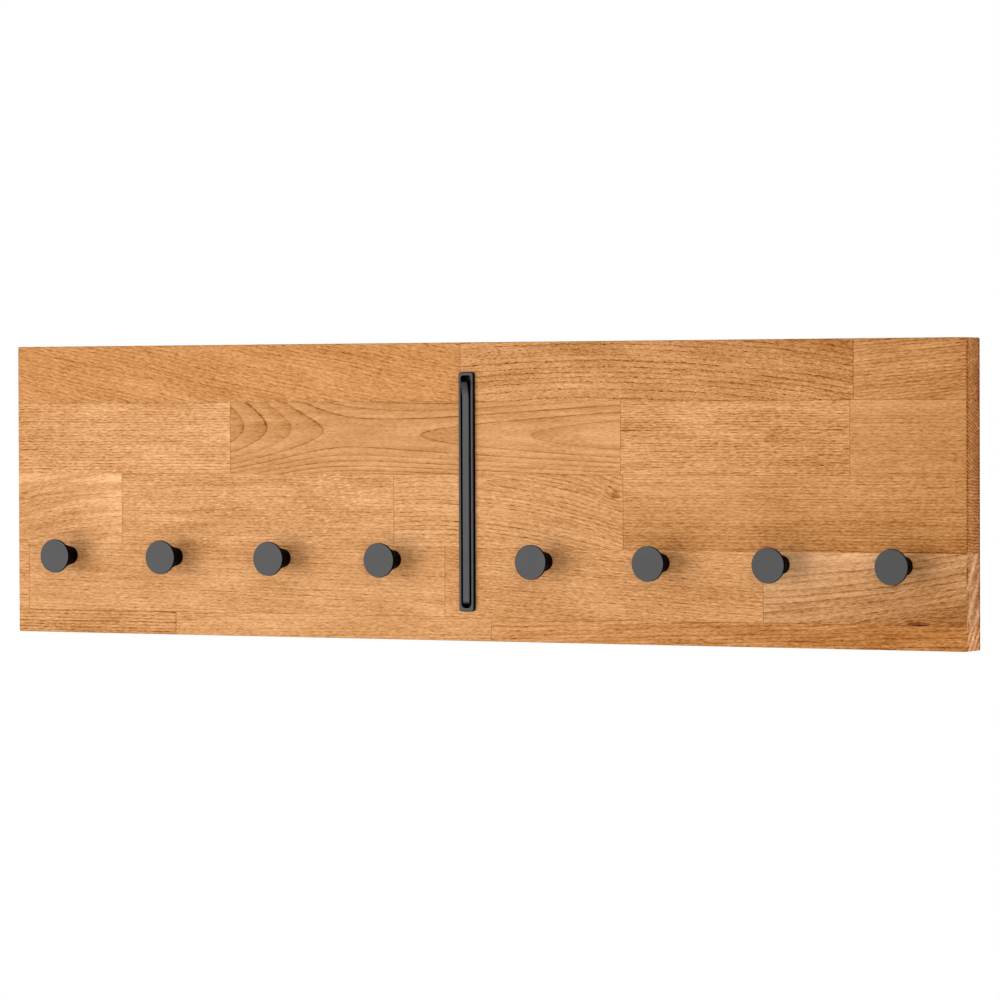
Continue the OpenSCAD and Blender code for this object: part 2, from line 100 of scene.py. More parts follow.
class Graph:
    """Adds nodes to a tree. A value may be a number, a tuple or another node's socket."""

    def __init__(self, tree):
        self.tree = tree

    def node(self, kind, inputs=None, **settings):
        made = self.tree.nodes.new(kind)
        for name, value in settings.items():
            setattr(made, name, value)
        for key, value in (inputs or {}).items():
            self.feed(made.inputs[key], value)
        return made

    def feed(self, socket, value):
        if isinstance(value, bpy.types.NodeSocket):
            self.tree.links.new(value, socket)
        else:
            socket.default_value = value

    def math(self, operation, *values):
        return self.node("ShaderNodeMath", dict(enumerate(values)), operation=operation).outputs[0]

    def add(self, *values):
        total = values[0]
        for value in values[1:]:
            total = self.math("ADD", total, value)
        return total

    def times(self, *values):
        product = values[0]
        for value in values[1:]:
            product = self.math("MULTIPLY", product, value)
        return product

    def less(self, value, taken):
        return self.math("SUBTRACT", value, taken)

    def over(self, value, divisor):
        return self.math("DIVIDE", value, divisor)

    def line(self, value, slope, start):
        """value times slope, plus start."""
        return self.math("MULTIPLY_ADD", value, slope, start)

    def length(self, across, upwards):
        """Length of the diagonal of two sides."""
        return self.math("SQRT", self.add(self.times(across, across), self.times(upwards, upwards)))

    def vector(self, x, y, z):
        return self.node("ShaderNodeCombineXYZ", {0: x, 1: y, 2: z}).outputs[0]

    def noise(self, spot, size, seed, detail=2, roughness=0.5):
        """Noise from 0 to 1 about 0.5 at spot, whose blotches are size = (x, y, z) millimetres across."""
        x, y, z = (1 / width for width in size)
        scaled = self.vector(self.times(spot[0], x), self.times(spot[1], y), self.line(spot[2], z, seed))
        inputs = {"Vector": scaled, "Scale": 1.0, "Detail": detail, "Roughness": roughness}
        return self.node("ShaderNodeTexNoise", inputs).outputs[0]

    def centred(self, value, height):
        """A 0 to 1 value turned into -height to height."""
        return self.line(value, self.times(2, height), self.times(-1, height))

    def step(self, value, low, high):
        """Smooth step of value from 0 at low to 1 at high."""
        inputs = {"Value": value, 1: low, 2: high}
        return self.node("ShaderNodeMapRange", inputs, interpolation_type="SMOOTHSTEP").outputs[0]

    def mix(self, share, first, second):
        """The first colour at share 0, the second at 1."""
        return self.node("ShaderNodeMix", {0: share, 6: first, 7: second}, data_type="RGBA").outputs[2]

    def coordinates(self, kind):
        """The x, y and z sockets of the surface's own coordinates of one kind."""
        source = self.node("ShaderNodeTexCoord").outputs[kind]
        return self.node("ShaderNodeSeparateXYZ", {0: source}).outputs

    def place_on_piece(self):
        """Place on the piece in millimetres, as (x, y, z)."""
        return tuple(self.times(axis, MILLIMETRES) for axis in self.coordinates("Object"))

    def outward(self):
        """Outward direction of the surface, as (x, y, z)."""
        return tuple(self.coordinates("Normal"))

    def bump(self, height, strength, distance):
        """Normal of a surface that height lifts by up to distance metres."""
        inputs = {"Height": height, "Strength": strength, "Distance": distance}
        return self.node("ShaderNodeBump", inputs).outputs[0]


def new_material(name):
    """A material with a fresh tree, its graph and its surface shader."""
    made = bpy.data.materials.new(name)
    made.use_nodes = True
    made.node_tree.nodes.clear()
    graph = Graph(made.node_tree)
    shader = graph.node("ShaderNodeBsdfPrincipled")
    graph.node("ShaderNodeOutputMaterial", {0: shader.outputs[0]})
    return made, graph, shader


# ---------------------------------------------------------------- oak

# What a stave's figure is made from, in millimetres unless it says otherwise, as it is in a plain stave
OAK = {
    # place that the figure's bend and arches start from
    "heart_x": 0, "heart_z": 0,
    # rise of the lines to the right, and how it grows along the stave
    "slope": 0, "bend": 0,
    # how widely the lines turn round the middle line, and how much closer they lie above it than below
    "round": 4, "lean": 0,
    # lean of the rings through the thickness, and their spacing in the end grain
    "through": 0.5, "layer": 2.4,
    # what draws the lines together into arches along the stave, and over what length
    "run": 0, "bow": 0, "bow_at": 60,
    # how much wider the arches open to the left, and how the lines crowd below
    "open": 0, "crowd": 0,
    # distance between two year rings, how far they wander, and how unlike their widths are
    "ring": 4, "wave": 2, "uneven": 0.6,
    # strength of the ring lines, and of the deeper colour that leads up to them
    "lines": 1, "late": 0.1,
    # strength of the pores, and how short they are cut
    "pores": 1, "dots": 1,
    # strength of the ray flecks, of the fine figure between the lines and of the soft streaks
    "rays": 0.2, "fine": 1, "streaks": 1,
    # strength of the joint at the left end
    "butt": 1,
    # place of a knot, how far it pushes the rings aside, its length for its height, and its depth of colour
    "knot_x": 0, "knot_z": 0, "knot": 0, "knot_long": 1, "knot_dark": 0,
    # how much lighter the wood is made per 100 mm to the right, and upwards: partly the stave's own tone,
    # partly painted light falloff across the panel
    "falloff_and_tone_x": 0, "falloff_and_tone_z": 0,
    # brightness, partly the stave's own and partly painted light falloff that darkens the staves towards the
    # right end, lean to red, and brightness of the end grain
    "tone": 1, "warm": 0, "end": 1,
    # where its noise starts
    "seed": 0,
}

# What is different in each stave of the panel
GRAIN = {
    "stave_a1": dict(heart_x=-380, heart_z=150, slope=-0.2, bend=0.00006, ring=3.6, wave=3.5, streaks=0.4,
        falloff_and_tone_z=-0.09, tone=0.96, warm=0.012, seed=1),
    "stave_a2": dict(heart_x=120, heart_z=90, bend=-0.0003, ring=5, wave=2.4, lines=1.3, late=0.3,
        pores=2.6, dots=2.4, falloff_and_tone_x=-0.05, falloff_and_tone_z=-0.19, tone=0.94, seed=2),
    "stave_a3": dict(heart_x=440, heart_z=60, slope=0.08, layer=3.1, ring=3, wave=1.5, lines=1.4, pores=1.2,
        streaks=1.3, butt=1.6, falloff_and_tone_x=-0.12, falloff_and_tone_z=-0.16, tone=0.86, end=1.12, seed=3),
    "stave_b1": dict(heart_x=-380, heart_z=140, ring=2.6, wave=1.8, lines=1.1, pores=1.3, rays=1.2,
        fine=0.95, streaks=0.8, falloff_and_tone_x=0.06, tone=1.11, seed=4),
    "stave_b2": dict(heart_x=-152, heart_z=52, round=20, lean=-0.22, run=0.077, bow=-0.123, bow_at=42,
        open=0.28, crowd=0.0067, ring=4.84, wave=0.7, uneven=0.03, lines=2.1, late=0.8, pores=0.5,
        fine=0.62, falloff_and_tone_x=0.02, falloff_and_tone_z=-0.05, tone=1.01, seed=5),
    "stave_b3": dict(heart_x=270, heart_z=160, ring=2.4, wave=1.6, lines=1.05, pores=1.5, rays=0.9,
        falloff_and_tone_x=-0.02, falloff_and_tone_z=0.07, tone=1.04, seed=6),
    "stave_b4": dict(heart_x=440, heart_z=150, through=0.45, layer=3.2, ring=3, wave=1, lines=0.7,
        pores=0.8, fine=0.85, streaks=0.5, falloff_and_tone_x=-0.1, falloff_and_tone_z=0.24, tone=0.91, end=1.02, seed=7),
    "stave_c1": dict(heart_x=-440, heart_z=-60, slope=0.1, bend=-0.0006, ring=4.5, wave=2.5, lines=0.8,
        late=0.3, fine=0.85, streaks=1.5, falloff_and_tone_x=0.18, falloff_and_tone_z=0.21, tone=1.12, seed=8),
    "stave_c2": dict(heart_x=-230, heart_z=90, ring=2.6, lines=0.75, rays=1.9, fine=0.9, tone=1.05, seed=9),
    "stave_c3": dict(heart_x=20, heart_z=-90, slope=-0.08, bend=-0.0007, lines=1.2, pores=1.3, fine=0.9,
        knot_x=152, knot_z=-3, knot=10, knot_dark=0.4, falloff_and_tone_x=-0.04, falloff_and_tone_z=-0.06, tone=1.07, seed=10),
    "stave_c4": dict(heart_x=330, heart_z=90, through=0.05, layer=2.7, ring=2.8, wave=1.6, pores=1.1,
        rays=0.4, streaks=0.7, falloff_and_tone_x=-0.06, falloff_and_tone_z=0.35, tone=0.88, end=1.06, seed=11),
    "stave_d1": dict(heart_x=-490, ring=3, streaks=1.3, butt=2, tone=1.06, seed=12),
    "stave_d2": dict(heart_x=-260, heart_z=30, slope=-0.02, ring=3, wave=1.8, lines=0.8, fine=0.85,
        streaks=0.9, falloff_and_tone_z=-0.1, tone=1.06, seed=13),
    "stave_d3": dict(heart_x=140, heart_z=20, slope=-0.05, ring=2.8, wave=1.6, lines=0.8, streaks=0.6,
        falloff_and_tone_z=0.07, tone=1.02, seed=14),
    "stave_d4": dict(heart_x=400, heart_z=-200, slope=0.13, bend=0.0004, through=-1.4, layer=28, ring=6,
        wave=3, lines=1.5, late=0.7, pores=0.8, streaks=1.3, knot_x=452, knot_z=-116, knot=-26, knot_long=2,
        knot_dark=0.6, falloff_and_tone_x=-0.16, falloff_and_tone_z=0.6, tone=0.92, warm=-0.018, end=1.38, seed=15),
    "stave_e1": dict(heart_x=-410, heart_z=-60, ring=3, wave=1.2, lines=2, pores=1.5, falloff_and_tone_z=0.5, tone=0.95,
        seed=16),
    "stave_e2": dict(heart_x=-150, heart_z=-60, slope=0.02, ring=3, wave=1.2, lines=0.7, fine=0.9,
        streaks=0.6, butt=2.2, falloff_and_tone_z=0.5, tone=1.05, seed=17),
    "stave_e3": dict(heart_x=260, heart_z=-80, slope=0.03, through=-1.3, layer=12, ring=3.6, wave=4,
        lines=1.3, rays=0.8, streaks=1.5, falloff_and_tone_x=-0.06, tone=0.86, warm=0.008, end=1.65, seed=18),
}

# Each noise of the figure: width of its blotches along, into and up the board in millimetres,
# where it starts, its detail and its roughness
NOISES = {
    "wide wave": ((150, 50, 45), 0, 1, 0.5),
    "narrow wave": ((24, 16, 8), 3.1, 2, 0.5),
    "ring widths": ((16, 1, 1), 7.7, 1, 0.5),
    "broken line": ((14, 2.2, 1.6), 11, 2, 0.5),
    "streak": ((60, 1.8, 1.6), 13, 3, 0.6),
    "fibre": ((9, 1.5, 1.3), 17, 3, 0.65),
    "band": ((70, 8, 5), 19, 2, 0.5),
    "cloud": ((90, 40, 24), 23, 2, 0.5),
    "grain": ((4.5, 0.9, 0.75), 27, 2, 0.6),
    "pore": ((6.5, 1.1, 0.9), 29, 2, 0.55),
    "ray fleck": ((10, 3, 1.3), 31, 2, 0.5),
    "ray patch": ((60, 40, 22), 37, 1, 0.5),
    "slow layer wave": ((12, 12, 12), 39, 1, 0.5),
    "quick layer wave": ((2.5, 5, 2.5), 40, 1, 0.5),
    "open pore": ((1.2, 4, 1.1), 41, 1, 0.5),
    "strong layer": ((9, 9, 3), 43, 2, 0.5),
    "glint": ((1.6, 4.5, 1.5), 45, 1, 0.5),
    "broken glue": ((6, 6, 6), 47, 2, 0.5),
}

# Inputs of the figure that come from the stave's own place
PLACE = ("left", "right", "bottom", "top", "middle_x", "middle_z")
NO_JOINT = 10000      # millimetres: stands for an edge that isn't glued

KNOT_REACH = 14       # millimetres over which a knot's push on the rings fades
KNOT_FLAT = 1.4       # how much faster it fades upwards than along the grain
ARCHES_NARROW = 150   # millimetres right of the heart, where arches begin to open
ARCHES_WIDE = -117    # and left of it, where they are fully open
CROWDING = 8          # millimetres below the middle line, where the lines begin to crowd
NARROW_WAVE = 0.42    # height of the narrow waves, for the height of the wide ones
FLATTEST = 0.12       # least rise of the rings across the face, which keeps the lines from spreading
SEED_STEP = 13.7      # keeps the noise of two staves apart

# How much each part of the figure lightens the long grain, or darkens it where it is below 0
LONG_GRAIN = {
    "line": -0.38, "late": -0.2, "pore": -0.36, "ray": 0.2, "band": 0.23,
    "streak": 0.12, "fibre": 0.1, "grain": 0.62, "cloud": 0.18,
}

# The same for the end grain, which starts from its ground
END_GRAIN = {
    "ground": 0.65, "layer": 0.08, "strong_layer": 0.5, "pore": -0.16, "glint": 0.26, "cloud": 0.16,
    # the front and back edge terms are painted shade along the arrises of the end face, and the far half term
    # darkens the end face towards the wall
    "front_arris_shade": -0.24, "far_half": -0.16, "back_arris_shade": -0.3,
}

OAK_RED = 0.612           # red of plain oak, as light
SCREEN_CURVE = 2.2        # power of the shade that the eye sees, which gives the light
GREEN_BELOW_RED = 0.221   # how far green and blue lie below red, in shade
BLUE_BELOW_RED = 0.417
# The paler start of the end grain is painted light on the sawn end faces; its lean to brown is the end
# grain's own colour
END_PAINTED_LIGHT = 0.6           # how much more light end grain starts from, and how far it leans to brown
END_GREEN = 0.07
END_BLUE = 0.098
OAK_VEIL = 0.012          # what the satin surface reflects on top of the wood's own colour
DARKEST = 0.002           # least light of a channel
OAK_SHEEN = 0.12          # specular level


class Board(Graph):
    """Graph of the oak figure, with its inputs and the place in the board."""

    def __init__(self, tree):
        super().__init__(tree)
        inputs = self.node("NodeGroupInput").outputs
        self.value = {name: inputs[name] for name in (*OAK, *PLACE)}
        self.place = self.place_on_piece()
        self.x, self.y, self.z = self.place
        self.depth = self.less(self.y, front_face * MILLIMETRES)
        self.seed = self.times(self.value["seed"], SEED_STEP)
        # 1 on the sawn ends, 0 on the faces along the grain
        self.end_cut = self.step(self.math("ABSOLUTE", self.outward()[0]), 0.55, 0.85)

    def figure(self, name, spot):
        """One of the named noises, which differs from stave to stave."""
        size, start, detail, roughness = NOISES[name]
        return self.noise(spot, size, self.add(self.seed, start), detail, roughness)


def height_in_figure(b):
    """Distance right of the heart, and height above the middle line without its bend and its waves."""
    along = b.less(b.x, b.value["heart_x"])
    bent = b.add(b.times(along, b.value["slope"]), b.times(along, along, b.value["bend"]))
    wide = b.centred(b.figure("wide wave", b.place), b.value["wave"])
    narrow = b.centred(b.figure("narrow wave", b.place), b.times(b.value["wave"], NARROW_WAVE))
    return along, b.add(b.less(b.less(b.z, b.value["heart_z"]), bent), wide, narrow)


def knot_distance(b):
    """Distance from the knot, in times its reach."""
    along = b.over(b.less(b.x, b.value["knot_x"]), b.value["knot_long"])
    upwards = b.times(b.less(b.z, b.value["knot_z"]), KNOT_FLAT)
    return b.over(b.length(along, upwards), KNOT_REACH)


def year_rings(b, along, level):
    """Early wood and late wood of the rings, and the dark line that starts each year."""
    opening = b.step(along, ARCHES_NARROW, ARCHES_WIDE)
    opened = b.times(level, b.less(1, b.times(b.value["open"], opening)))
    turned = b.length(opened, b.value["round"])
    below = b.math("MINIMUM", b.add(level, CROWDING), 0)
    bow_length = b.length(along, b.value["bow_at"])
    bow = b.times(b.less(bow_length, b.value["bow_at"]), b.value["bow"])
    knot_push = b.times(b.math("EXPONENT", b.times(knot_distance(b), -1)), b.value["knot"])
    rings_deep = b.add(
        turned,
        b.times(level, b.value["lean"], opening),
        b.times(below, below, b.value["crowd"]),
        b.times(b.depth, b.value["through"]),
        b.times(along, b.value["run"]),
        bow,
        knot_push)

    uneven = b.centred(b.figure("ring widths", (rings_deep, 0, 0)), b.value["uneven"])
    year = b.add(b.over(rings_deep, b.value["ring"]), uneven)
    this_year = b.math("FLOOR", year)
    in_ring = b.times(b.less(year, this_year), b.value["ring"])
    inputs = {"W": b.add(this_year, b.seed)}
    force = b.node("ShaderNodeTexWhiteNoise", inputs, noise_dimensions="1D").outputs[0]

    # the lines keep their width on the face where the rings lie flat in it
    rise_x = b.add(b.value["run"], b.times(b.value["bow"], b.over(along, bow_length)))
    rise_z = b.over(opened, turned)
    past_line = b.over(in_ring, b.math("MAXIMUM", b.length(rise_x, rise_z), FLATTEST))
    early = b.math("POWER", b.less(1, b.step(past_line, -0.5, 1.9)), 1.5)
    late = b.times(b.math("POWER", b.over(in_ring, b.value["ring"]), 2), b.value["late"])
    broken = b.step(b.figure("broken line", (b.x, b.y, level)), 0.3, 0.62)
    line = b.times(early, b.line(force, 0.7, 0.4), b.line(broken, 0.6, 0.5))
    return early, late, line


def long_grain(b):
    """Light of the faces along the grain, with the parts of the figure that the rest also needs."""
    along, level = height_in_figure(b)
    early, late, line = year_rings(b, along, level)
    fibres = (b.x, b.y, level)
    streak = b.centred(b.figure("streak", fibres), 1)
    fibre = b.centred(b.figure("fibre", fibres), 1)
    band = b.centred(b.figure("band", fibres), 1)
    cloud = b.centred(b.figure("cloud", fibres), 1)
    grain = b.centred(b.figure("grain", fibres), 1)
    cut_fibres = (b.times(b.x, b.value["dots"]), b.y, level)
    pore = b.times(b.step(b.figure("pore", cut_fibres), 0.5, 0.67), b.line(early, 0.8, 0.22))
    slanted = (b.line(b.z, 0.5, b.x), b.y, b.line(b.x, -0.12, level))
    fleck = b.step(b.figure("ray fleck", slanted), 0.57, 0.67)
    ray = b.times(fleck, b.step(b.figure("ray patch", b.place), 0.35, 0.65))

    part = LONG_GRAIN
    # painted light falloff across the panel, mixed with the stave's own change of tone
    falloff_and_tone = b.add(
        b.times(b.less(b.x, b.value["middle_x"]), b.value["falloff_and_tone_x"]),
        b.times(b.less(b.z, b.value["middle_z"]), b.value["falloff_and_tone_z"]))
    fine = b.add(
        b.times(streak, part["streak"]),
        b.times(fibre, part["fibre"]),
        b.times(grain, part["grain"]),
        b.times(cloud, part["cloud"]))
    light = b.add(
        1.0,
        b.times(falloff_and_tone, 0.01),
        b.times(line, b.value["lines"], part["line"]),
        b.times(late, part["late"]),
        b.times(pore, b.value["pores"], part["pore"]),
        b.times(ray, b.value["rays"], part["ray"]),
        b.times(band, b.value["streaks"], part["band"]),
        b.times(b.value["fine"], fine))
    return light, cloud, line, pore, ray, fibre


def end_grain(b, cloud):
    """Light of the end faces: thin layers that lean through the thickness, with open pores between them."""
    slow_wave = b.centred(b.figure("slow layer wave", b.place), 1.6)
    quick_wave = b.centred(b.figure("quick layer wave", b.place), 0.8)
    layer_at = b.add(b.z, b.times(b.depth, b.value["through"]), slow_wave, quick_wave)
    turns = b.times(layer_at, b.over(2 * math.pi, b.value["layer"]))
    layer = b.math("POWER", b.line(b.math("COSINE", turns), 0.5, 0.5), 2)
    strong = b.figure("strong layer", (b.x, b.times(b.y, 0.5), layer_at))
    open_pore = b.step(b.figure("open pore", b.place), 0.5, 0.7)
    glint = b.step(b.figure("glint", b.place), 0.5, 0.65)

    part = END_GRAIN
    light = b.add(
        part["ground"],
        b.times(layer, b.line(strong, part["strong_layer"], part["layer"])),
        b.times(open_pore, part["pore"]),
        b.times(glint, part["glint"]),
        b.times(cloud, part["cloud"]),
        # painted shade along the front and back arrises, and darker over the far half towards the wall
        b.times(b.step(b.depth, 6, 1.5), part["front_arris_shade"]),
        b.times(b.step(b.depth, 9, 26), part["far_half"]),
        b.times(b.step(b.depth, 25.5, 28), part["back_arris_shade"]))
    return b.times(b.value["end"], light)


def glue_lines(b):
    """Fine broken dark lines where the stave meets its neighbours, within a millimetre of its edges."""
    left = b.step(b.less(b.x, b.value["left"]), 0.9, 0.1)
    right = b.step(b.less(b.value["right"], b.x), 0.5, 0.1)
    row_gap = b.math("MINIMUM", b.less(b.z, b.value["bottom"]), b.less(b.value["top"], b.z))
    row = b.step(row_gap, 0.6, 0.1)
    broken = b.line(b.figure("broken glue", b.place), 1.4, -0.1)
    return b.add(
        b.times(left, broken, b.value["butt"], -0.5),
        b.times(right, broken, -0.3),
        b.times(row, broken, -0.3))


def oiled(b, light):
    """Colour of oiled oak. Oil deepens it where it is darker: blue and green give out before red."""
    lit = b.math("MAXIMUM", light, 0.02)
    # painted light on the sawn ends, which makes the end grain paler
    painted_end_light = b.line(b.end_cut, END_PAINTED_LIGHT, 1)
    shade = b.math("POWER", b.times(lit, painted_end_light, OAK_RED), 1 / SCREEN_CURVE)
    green_gap = b.add(GREEN_BELOW_RED, b.value["warm"], b.times(b.end_cut, END_GREEN))
    blue_gap = b.add(BLUE_BELOW_RED, b.times(b.value["warm"], 2), b.times(b.end_cut, END_BLUE))
    channels = []
    for gap in (0, green_gap, blue_gap):
        seen = b.math("POWER", b.math("MAXIMUM", b.less(shade, gap), 0), SCREEN_CURVE)
        channels.append(b.math("MAXIMUM", b.less(seen, OAK_VEIL), DARKEST))
    return b.vector(*channels)


def oak_tree():
    """The figure of one stave, cut out of a log: colour, roughness and height from the place in the board."""
    tree = bpy.data.node_groups.new("oak_figure", "ShaderNodeTree")
    for name in (*OAK, *PLACE):
        tree.interface.new_socket(name=name, in_out="INPUT", socket_type="NodeSocketFloat")
    for name, kind in (("Color", "Color"), ("Roughness", "Float"), ("Height", "Float")):
        tree.interface.new_socket(name=name, in_out="OUTPUT", socket_type="NodeSocket" + kind)
    b = Board(tree)
    long_light, cloud, line, pore, ray, fibre = long_grain(b)
    end_light = end_grain(b, cloud)
    grain_light = b.node("ShaderNodeMix", {0: b.end_cut, 2: long_light, 3: end_light}).outputs[0]
    knot = b.times(b.step(knot_distance(b), 0.55, 0.05), b.value["knot_dark"], -1)
    # tone: the stave's own brightness together with painted light falloff towards the right end
    light = b.times(b.add(grain_light, knot, glue_lines(b)), b.value["tone"])
    rough = b.add(0.52, b.times(pore, 0.2), b.times(ray, -0.12), b.times(b.end_cut, 0.12))
    height = b.add(b.times(pore, -1.0), b.times(line, -0.25), b.times(fibre, 0.15))
    b.node("NodeGroupOutput", {0: oiled(b, light), 1: rough, 2: height})
    return tree


def oak(stave, tree):
    """The material of one stave."""
    made, g, shader = new_material("oak_" + stave.removeprefix("stave_"))
    low, high = (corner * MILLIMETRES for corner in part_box(stave))
    first, last = panel_low * MILLIMETRES, panel_high * MILLIMETRES
    place = {
        "left": low.x if low.x > first.x + 1 else -NO_JOINT,
        "right": high.x if high.x < last.x - 1 else NO_JOINT,
        "bottom": low.z if low.z > first.z + 1 else -NO_JOINT,
        "top": high.z if high.z < last.z - 1 else NO_JOINT,
        "middle_x": (low.x + high.x) / 2,
        "middle_z": (low.z + high.z) / 2,
    }
    figure = g.node("ShaderNodeGroup", node_tree=tree)
    for name, value in {**OAK, **GRAIN[stave], **place}.items():
        figure.inputs[name].default_value = value
    g.feed(shader.inputs["Base Color"], figure.outputs["Color"])
    g.feed(shader.inputs["Roughness"], figure.outputs["Roughness"])
    g.feed(shader.inputs["Normal"], g.bump(figure.outputs["Height"], 0.35, 0.0002))
    shader.inputs["Specular IOR Level"].default_value = OAK_SHEEN
    return made


# ---------------------------------------------------------------- coatings and metals

# Near-black coat colours: the sides of the knobs and rod stay black as painted shade, and their fronts look
# grey only from the painted sheen
KNOB_GREY = (0.0018, 0.0018, 0.0018)
ROD_GREY = (0.0018, 0.0018, 0.002)
ZINC = (0.72, 0.72, 0.70)
BLACK_OXIDE = (0.05, 0.05, 0.055)
SOOT = (0.012, 0.012, 0.012, 1)
WORN_SOOT = (0.03, 0.03, 0.03, 1)


def shaded(colour, share):
    """A colour made lighter or darker, with its alpha."""
    return tuple(channel * share for channel in colour) + (1,)


def powder_coat(name, colour):
    """Fine-grained powder coat with a painted sheen: the broad front and back faces reflect as satin, while
    the sides reflect almost nothing and stay dark as painted shade.
    """
    made, g, shader = new_material(name)
    place = g.place_on_piece()
    towards_back = g.outward()[1]
    # painted sheen and shade: how much a face reflects follows which way it turns; front and back faces
    # reflect, the sides stay near black
    sheen_by_facing = g.add(g.step(towards_back, -0.2, -0.95), g.step(towards_back, 0.75, 0.98))
    grain = g.noise(place, (0.5, 0.5, 0.5), 0)
    cloud = g.noise(place, (18, 18, 18), 5)
    g.feed(shader.inputs["Base Color"], g.mix(cloud, shaded(colour, 0.82), shaded(colour, 1.18)))
    g.feed(shader.inputs["Roughness"], g.add(0.37, g.times(cloud, 0.06), g.times(grain, 0.04)))
    g.feed(shader.inputs["Specular IOR Level"], g.line(sheen_by_facing, 0.52, 0.003))
    g.feed(shader.inputs["Normal"], g.bump(grain, 0.25, 0.00005))
    return made


def plated_steel(name, colour, roughness):
    """Plated steel with a fine brushed tone."""
    made, g, shader = new_material(name)
    place = g.place_on_piece()
    brushed = g.noise(place, (12, 0.25, 0.25), 0)
    cloud = g.noise(place, (7, 7, 7), 9)
    g.feed(shader.inputs["Base Color"], g.mix(cloud, shaded(colour, 0.8), shaded(colour, 1)))
    g.feed(shader.inputs["Roughness"], g.line(brushed, 0.15, roughness))
    shader.inputs["Metallic"].default_value = 1
    return made


def rubber(name):
    """Matt black rubber or plastic."""
    made, g, shader = new_material(name)
    place = g.place_on_piece()
    g.feed(shader.inputs["Base Color"], g.mix(g.noise(place, (0.4, 0.4, 0.4), 0), SOOT, WORN_SOOT))
    shader.inputs["Roughness"].default_value = 0.75
    return made


def dress(nodes, material):
    """Puts one material on CAD nodes."""
    for node in nodes:
        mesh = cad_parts[node].data
        mesh.materials.clear()
        mesh.materials.append(material)


# ---------------------------------------------------------------- machine screws

THREAD_PITCH = 0.0007   # metres from one turn of an M4 thread to the next
THREAD_RIDGE = 0.42     # height of the thread, in pitches
RECESS_WIDTH = 0.0011   # metres: width of the arms of the cross recess
RECESS_SPAN = 1.1       # length of an arm, in radii of the head
HEAD_WALL = 0.55        # straight part of the head's height, below the crown
CROWN_TOP = 0.72        # radius of the crown's flat top, in radii of the head
HEAD_SIDES = 48
SHANK_SIDES = 24
THREAD_STEPS = 16       # in a turn


def moved(g, shape, height):
    """Shape lifted by height."""
    inputs = {"Geometry": shape, "Translation": g.vector(0, 0, height)}
    return g.node("GeometryNodeTransform", inputs).outputs[0]


def joined(g, shapes):
    """Several shapes as one."""
    join = g.node("GeometryNodeJoinGeometry")
    for shape in shapes:
        g.feed(join.inputs[0], shape)
    return join.outputs[0]


def screw_head(g, size):
    """Pan head that stands on z = 0, with a cross recess in its crown."""
    radius = size["Head radius"]
    wall_height = g.times(size["Head height"], HEAD_WALL)
    inputs = {"Vertices": HEAD_SIDES, "Radius": radius, "Depth": wall_height}
    wall = g.node("GeometryNodeMeshCylinder", inputs).outputs["Mesh"]
    inputs = {
        "Vertices": HEAD_SIDES,
        "Radius Top": g.times(radius, CROWN_TOP),
        "Radius Bottom": radius,
        "Depth": g.times(size["Head height"], 1 - HEAD_WALL),
    }
    crown = g.node("GeometryNodeMeshCone", inputs).outputs["Mesh"]
    pan = joined(g, (moved(g, crown, wall_height), moved(g, wall, g.times(wall_height, 0.5))))

    arm_size = g.vector(g.times(radius, RECESS_SPAN), size["Recess width"], size["Head height"])
    arm = g.node("GeometryNodeMeshCube", {"Size": arm_size}).outputs["Mesh"]
    quarter_turn = {"Geometry": arm, "Rotation": (0, 0, math.pi / 2)}
    other_arm = g.node("GeometryNodeTransform", quarter_turn).outputs[0]
    recess = moved(g, joined(g, (arm, other_arm)), size["Head height"])

    inputs = {"Mesh 1": pan, "Mesh 2": recess, "Self Intersection": True}
    return g.node("GeometryNodeMeshBoolean", inputs, operation="DIFFERENCE", solver="EXACT").outputs[0]


def screw_shank(g, size):
    """Core and rolled thread that hang below z = 0. The thread leaves a pitch plain at each end."""
    length = size["Shank length"]
    below = g.times(length, -1)
    ridge = g.times(size["Pitch"], THREAD_RIDGE)
    root = g.less(size["Shank radius"], ridge)
    inputs = {"Vertices": SHANK_SIDES, "Radius": root, "Depth": length}
    core = g.node("GeometryNodeMeshCylinder", inputs).outputs["Mesh"]
    inputs = {
        "Resolution": THREAD_STEPS,
        "Rotations": g.less(g.over(length, size["Pitch"]), 2),
        "Start Radius": root,
        "End Radius": root,
        "Height": g.less(length, g.times(size["Pitch"], 2)),
    }
    spiral = g.node("GeometryNodeCurveSpiral", inputs).outputs[0]
    upright = g.node("GeometryNodeSetCurveNormal", {"Curve": spiral}, mode="Z_UP").outputs[0]
    section = g.node("GeometryNodeCurvePrimitiveCircle", {"Resolution": 4, "Radius": ridge}).outputs[0]
    inputs = {"Curve": upright, "Profile Curve": section, "Fill Caps": True}
    thread = g.node("GeometryNodeCurveToMesh", inputs).outputs[0]
    return joined(g, (moved(g, core, g.times(below, 0.5)), moved(g, thread, g.add(below, size["Pitch"]))))


